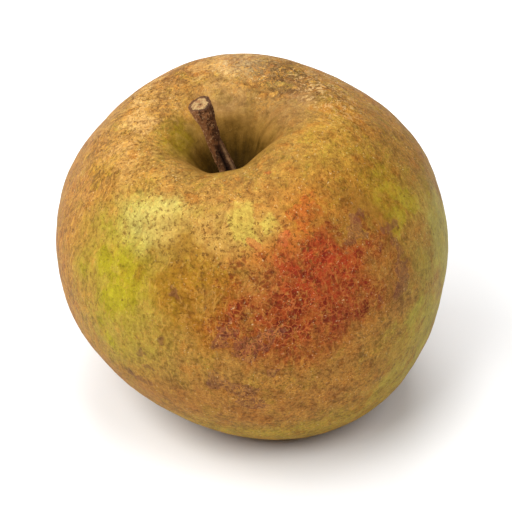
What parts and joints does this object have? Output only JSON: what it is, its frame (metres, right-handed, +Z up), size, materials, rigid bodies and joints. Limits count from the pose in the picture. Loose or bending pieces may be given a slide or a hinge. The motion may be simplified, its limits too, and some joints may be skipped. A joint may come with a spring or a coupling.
{
  "type": "boskoop apple",
  "caption": "Large lopsided russet cooking apple with a woody stalk in a deep cavity and a dried calyx in its base.",
  "frame": {"origin": "on the ground under the middle of the fruit's own width and depth", "axes": "+Z up. +X to the fruit's right and +Y to its back as the picture shows it; the core leans to -X and a little to -Y"},
  "size_m": [0.0826, 0.0844, 0.0762],
  "materials": {
    "russet_skin": "matt apple skin: golden-brown russet over yellow-green, with a red-orange flush on one side and fine dark and pale lenticels",
    "stalk_bark": "dull dark brown bark with a pale tan cut end",
    "dried_sepal": "dry, matt grey-brown"
  },
  "bodies": {
    "root": {"apple": "russet_skin", "stalk": "stalk_bark", "calyx": "dried_sepal"}
  },
  "joints": []
}
